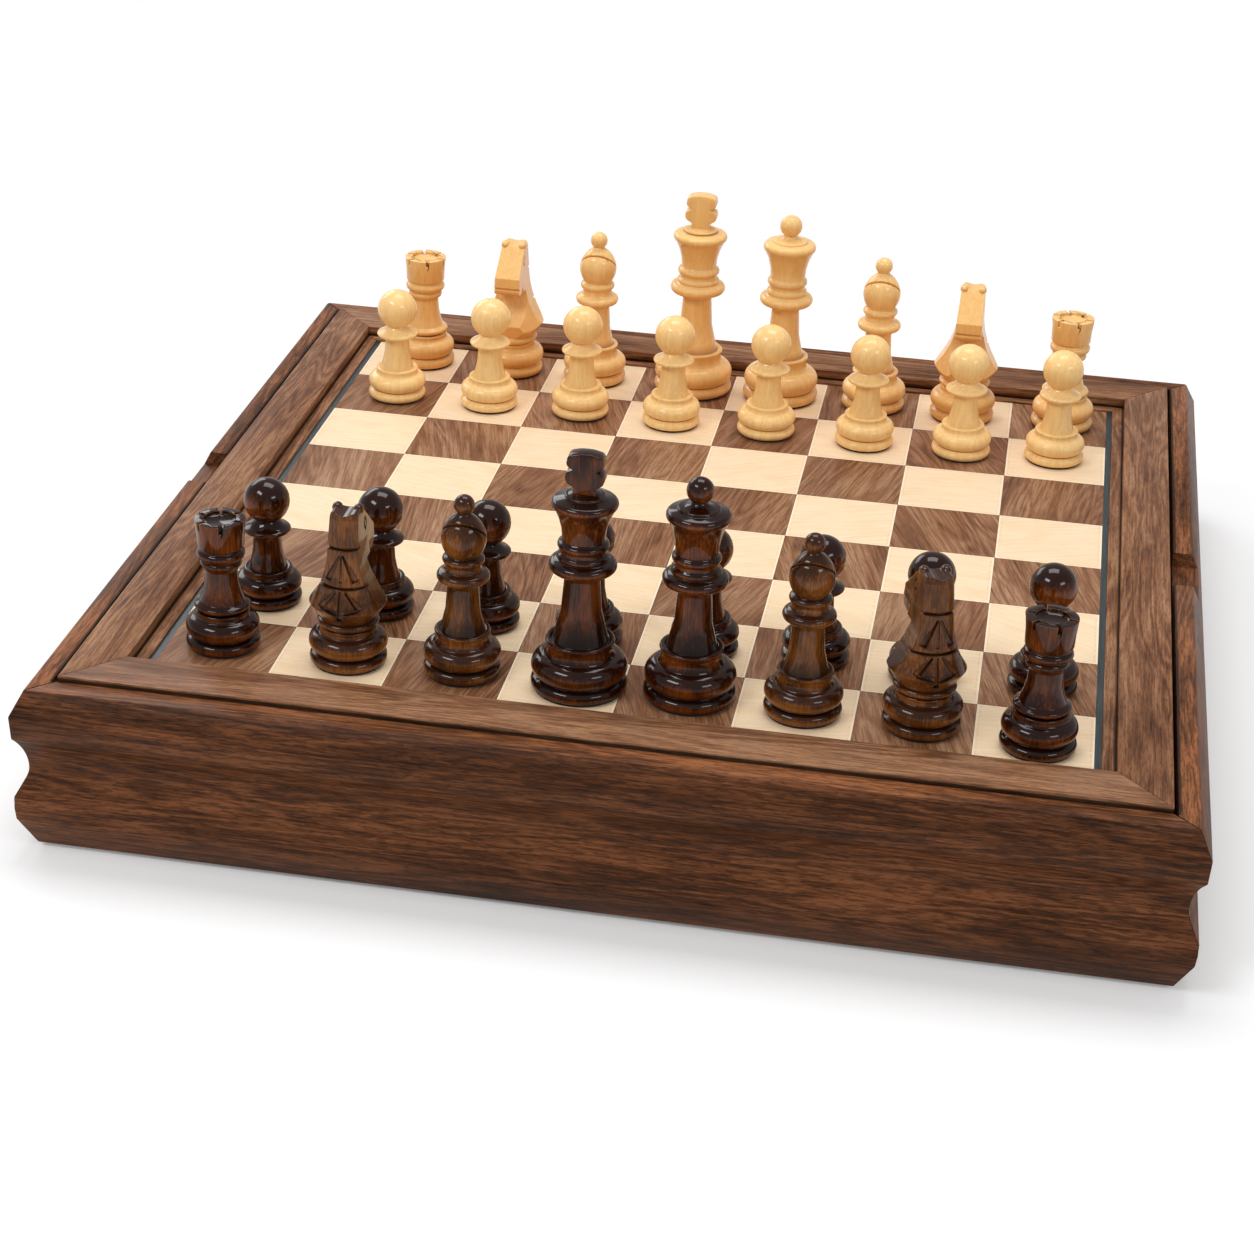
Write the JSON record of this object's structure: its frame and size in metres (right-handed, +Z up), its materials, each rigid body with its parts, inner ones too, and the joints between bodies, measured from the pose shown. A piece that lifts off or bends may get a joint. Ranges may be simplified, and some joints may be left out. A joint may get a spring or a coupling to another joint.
{
  "type": "chess box with drawers",
  "caption": "Walnut chess box with an inlaid board on top, a drawer behind its left and right mouldings, and turned light and dark chess men standing on the board.",
  "frame": {"origin": "on the table under the middle of the box", "axes": "+X to the right as the players' files run from left to right, -Y towards the front with the dark men, +Z up"},
  "size_m": [0.3764, 0.3764, 0.1375],
  "materials": {
    "walnut_moulding": "oiled walnut, open pores, satin",
    "walnut_frame": "oiled walnut, figured, satin",
    "walnut_veneer": "walnut veneer, satin",
    "maple_veneer": "maple veneer, satin",
    "slate_line": "dyed stringing, satin",
    "birch_plywood": "sanded plywood",
    "drawer_beech": "planed beech, waxed",
    "felt": "wool felt",
    "zinc_screw": "zinc-plated steel",
    "boxwood": "turned boxwood, gloss lacquer",
    "ebonised_wood": "turned hardwood, dark stain and gloss lacquer"
  },
  "bodies": {
    "case": {"felt_feet": "felt", "bottom_panel": "birch_plywood", "bottom_screws": "zinc_screw", "case_wall_front": "birch_plywood", "case_wall_back": "birch_plywood", "centre_divider": "birch_plywood", "stop_battens": "drawer_beech", "board_core": "birch_plywood", "light_squares": "maple_veneer", "dark_squares": "walnut_veneer", "slate_strips": "slate_line", "ledge_strips": "walnut_frame", "frame_rail_front": "walnut_frame", "frame_rail_back": "walnut_frame", "frame_rail_left": "walnut_frame", "frame_rail_right": "walnut_frame", "front_moulding": "walnut_moulding", "back_moulding": "walnut_moulding"},
    "left_drawer": {"left_drawer_front": "walnut_moulding", "left_drawer_sides": "drawer_beech", "left_drawer_back": "drawer_beech", "left_drawer_bottom": "birch_plywood", "left_drawer_lining": "felt"},
    "right_drawer": {"right_drawer_front": "walnut_moulding", "right_drawer_sides": "drawer_beech", "right_drawer_back": "drawer_beech", "right_drawer_bottom": "birch_plywood", "right_drawer_lining": "felt"},
    "dark_rook_left": {"dark_rook_left": "ebonised_wood"},
    "dark_knight_left": {"dark_knight_left": "ebonised_wood"},
    "dark_bishop_left": {"dark_bishop_left": "ebonised_wood"},
    "dark_king": {"dark_king": "ebonised_wood"},
    "dark_queen": {"dark_queen": "ebonised_wood"},
    "dark_bishop_right": {"dark_bishop_right": "ebonised_wood"},
    "dark_knight_right": {"dark_knight_right": "ebonised_wood"},
    "dark_rook_right": {"dark_rook_right": "ebonised_wood"},
    "light_rook_left": {"light_rook_left": "boxwood"},
    "light_knight_left": {"light_knight_left": "boxwood"},
    "light_bishop_left": {"light_bishop_left": "boxwood"},
    "light_king": {"light_king": "boxwood"},
    "light_queen": {"light_queen": "boxwood"},
    "light_bishop_right": {"light_bishop_right": "boxwood"},
    "light_knight_right": {"light_knight_right": "boxwood"},
    "light_rook_right": {"light_rook_right": "boxwood"},
    "dark_pawn_1": {"dark_pawn_1": "ebonised_wood"},
    "dark_pawn_2": {"dark_pawn_2": "ebonised_wood"},
    "dark_pawn_3": {"dark_pawn_3": "ebonised_wood"},
    "dark_pawn_4": {"dark_pawn_4": "ebonised_wood"},
    "dark_pawn_5": {"dark_pawn_5": "ebonised_wood"},
    "dark_pawn_6": {"dark_pawn_6": "ebonised_wood"},
    "dark_pawn_7": {"dark_pawn_7": "ebonised_wood"},
    "dark_pawn_8": {"dark_pawn_8": "ebonised_wood"},
    "light_pawn_1": {"light_pawn_1": "boxwood"},
    "light_pawn_2": {"light_pawn_2": "boxwood"},
    "light_pawn_3": {"light_pawn_3": "boxwood"},
    "light_pawn_4": {"light_pawn_4": "boxwood"},
    "light_pawn_5": {"light_pawn_5": "boxwood"},
    "light_pawn_6": {"light_pawn_6": "boxwood"},
    "light_pawn_7": {"light_pawn_7": "boxwood"},
    "light_pawn_8": {"light_pawn_8": "boxwood"}
  },
  "joints": [
    {"name": "left_drawer_slide", "type": "slide", "parent": "case", "child": "left_drawer", "axis": [-1, 0, 0], "range_m": [0, 0.13]},
    {"name": "right_drawer_slide", "type": "slide", "parent": "case", "child": "right_drawer", "axis": [1, 0, 0], "range_m": [0, 0.13]},
    {"name": "dark_rook_left_lift", "type": "slide", "parent": "case", "child": "dark_rook_left", "axis": [0, 0, 1], "range_m": [0, 0.09]},
    {"name": "dark_knight_left_lift", "type": "slide", "parent": "case", "child": "dark_knight_left", "axis": [0, 0, 1], "range_m": [0, 0.09]},
    {"name": "dark_bishop_left_lift", "type": "slide", "parent": "case", "child": "dark_bishop_left", "axis": [0, 0, 1], "range_m": [0, 0.09]},
    {"name": "dark_king_lift", "type": "slide", "parent": "case", "child": "dark_king", "axis": [0, 0, 1], "range_m": [0, 0.09]},
    {"name": "dark_queen_lift", "type": "slide", "parent": "case", "child": "dark_queen", "axis": [0, 0, 1], "range_m": [0, 0.09]},
    {"name": "dark_bishop_right_lift", "type": "slide", "parent": "case", "child": "dark_bishop_right", "axis": [0, 0, 1], "range_m": [0, 0.09]},
    {"name": "dark_knight_right_lift", "type": "slide", "parent": "case", "child": "dark_knight_right", "axis": [0, 0, 1], "range_m": [0, 0.09]},
    {"name": "dark_rook_right_lift", "type": "slide", "parent": "case", "child": "dark_rook_right", "axis": [0, 0, 1], "range_m": [0, 0.09]},
    {"name": "light_rook_left_lift", "type": "slide", "parent": "case", "child": "light_rook_left", "axis": [0, 0, 1], "range_m": [0, 0.09]},
    {"name": "light_knight_left_lift", "type": "slide", "parent": "case", "child": "light_knight_left", "axis": [0, 0, 1], "range_m": [0, 0.09]},
    {"name": "light_bishop_left_lift", "type": "slide", "parent": "case", "child": "light_bishop_left", "axis": [0, 0, 1], "range_m": [0, 0.09]},
    {"name": "light_king_lift", "type": "slide", "parent": "case", "child": "light_king", "axis": [0, 0, 1], "range_m": [0, 0.09]},
    {"name": "light_queen_lift", "type": "slide", "parent": "case", "child": "light_queen", "axis": [0, 0, 1], "range_m": [0, 0.09]},
    {"name": "light_bishop_right_lift", "type": "slide", "parent": "case", "child": "light_bishop_right", "axis": [0, 0, 1], "range_m": [0, 0.09]},
    {"name": "light_knight_right_lift", "type": "slide", "parent": "case", "child": "light_knight_right", "axis": [0, 0, 1], "range_m": [0, 0.09]},
    {"name": "light_rook_right_lift", "type": "slide", "parent": "case", "child": "light_rook_right", "axis": [0, 0, 1], "range_m": [0, 0.09]},
    {"name": "dark_pawn_1_lift", "type": "slide", "parent": "case", "child": "dark_pawn_1", "axis": [0, 0, 1], "range_m": [0, 0.09]},
    {"name": "dark_pawn_2_lift", "type": "slide", "parent": "case", "child": "dark_pawn_2", "axis": [0, 0, 1], "range_m": [0, 0.09]},
    {"name": "dark_pawn_3_lift", "type": "slide", "parent": "case", "child": "dark_pawn_3", "axis": [0, 0, 1], "range_m": [0, 0.09]},
    {"name": "dark_pawn_4_lift", "type": "slide", "parent": "case", "child": "dark_pawn_4", "axis": [0, 0, 1], "range_m": [0, 0.09]},
    {"name": "dark_pawn_5_lift", "type": "slide", "parent": "case", "child": "dark_pawn_5", "axis": [0, 0, 1], "range_m": [0, 0.09]},
    {"name": "dark_pawn_6_lift", "type": "slide", "parent": "case", "child": "dark_pawn_6", "axis": [0, 0, 1], "range_m": [0, 0.09]},
    {"name": "dark_pawn_7_lift", "type": "slide", "parent": "case", "child": "dark_pawn_7", "axis": [0, 0, 1], "range_m": [0, 0.09]},
    {"name": "dark_pawn_8_lift", "type": "slide", "parent": "case", "child": "dark_pawn_8", "axis": [0, 0, 1], "range_m": [0, 0.09]},
    {"name": "light_pawn_1_lift", "type": "slide", "parent": "case", "child": "light_pawn_1", "axis": [0, 0, 1], "range_m": [0, 0.09]},
    {"name": "light_pawn_2_lift", "type": "slide", "parent": "case", "child": "light_pawn_2", "axis": [0, 0, 1], "range_m": [0, 0.09]},
    {"name": "light_pawn_3_lift", "type": "slide", "parent": "case", "child": "light_pawn_3", "axis": [0, 0, 1], "range_m": [0, 0.09]},
    {"name": "light_pawn_4_lift", "type": "slide", "parent": "case", "child": "light_pawn_4", "axis": [0, 0, 1], "range_m": [0, 0.09]},
    {"name": "light_pawn_5_lift", "type": "slide", "parent": "case", "child": "light_pawn_5", "axis": [0, 0, 1], "range_m": [0, 0.09]},
    {"name": "light_pawn_6_lift", "type": "slide", "parent": "case", "child": "light_pawn_6", "axis": [0, 0, 1], "range_m": [0, 0.09]},
    {"name": "light_pawn_7_lift", "type": "slide", "parent": "case", "child": "light_pawn_7", "axis": [0, 0, 1], "range_m": [0, 0.09]},
    {"name": "light_pawn_8_lift", "type": "slide", "parent": "case", "child": "light_pawn_8", "axis": [0, 0, 1], "range_m": [0, 0.09]}
  ]
}
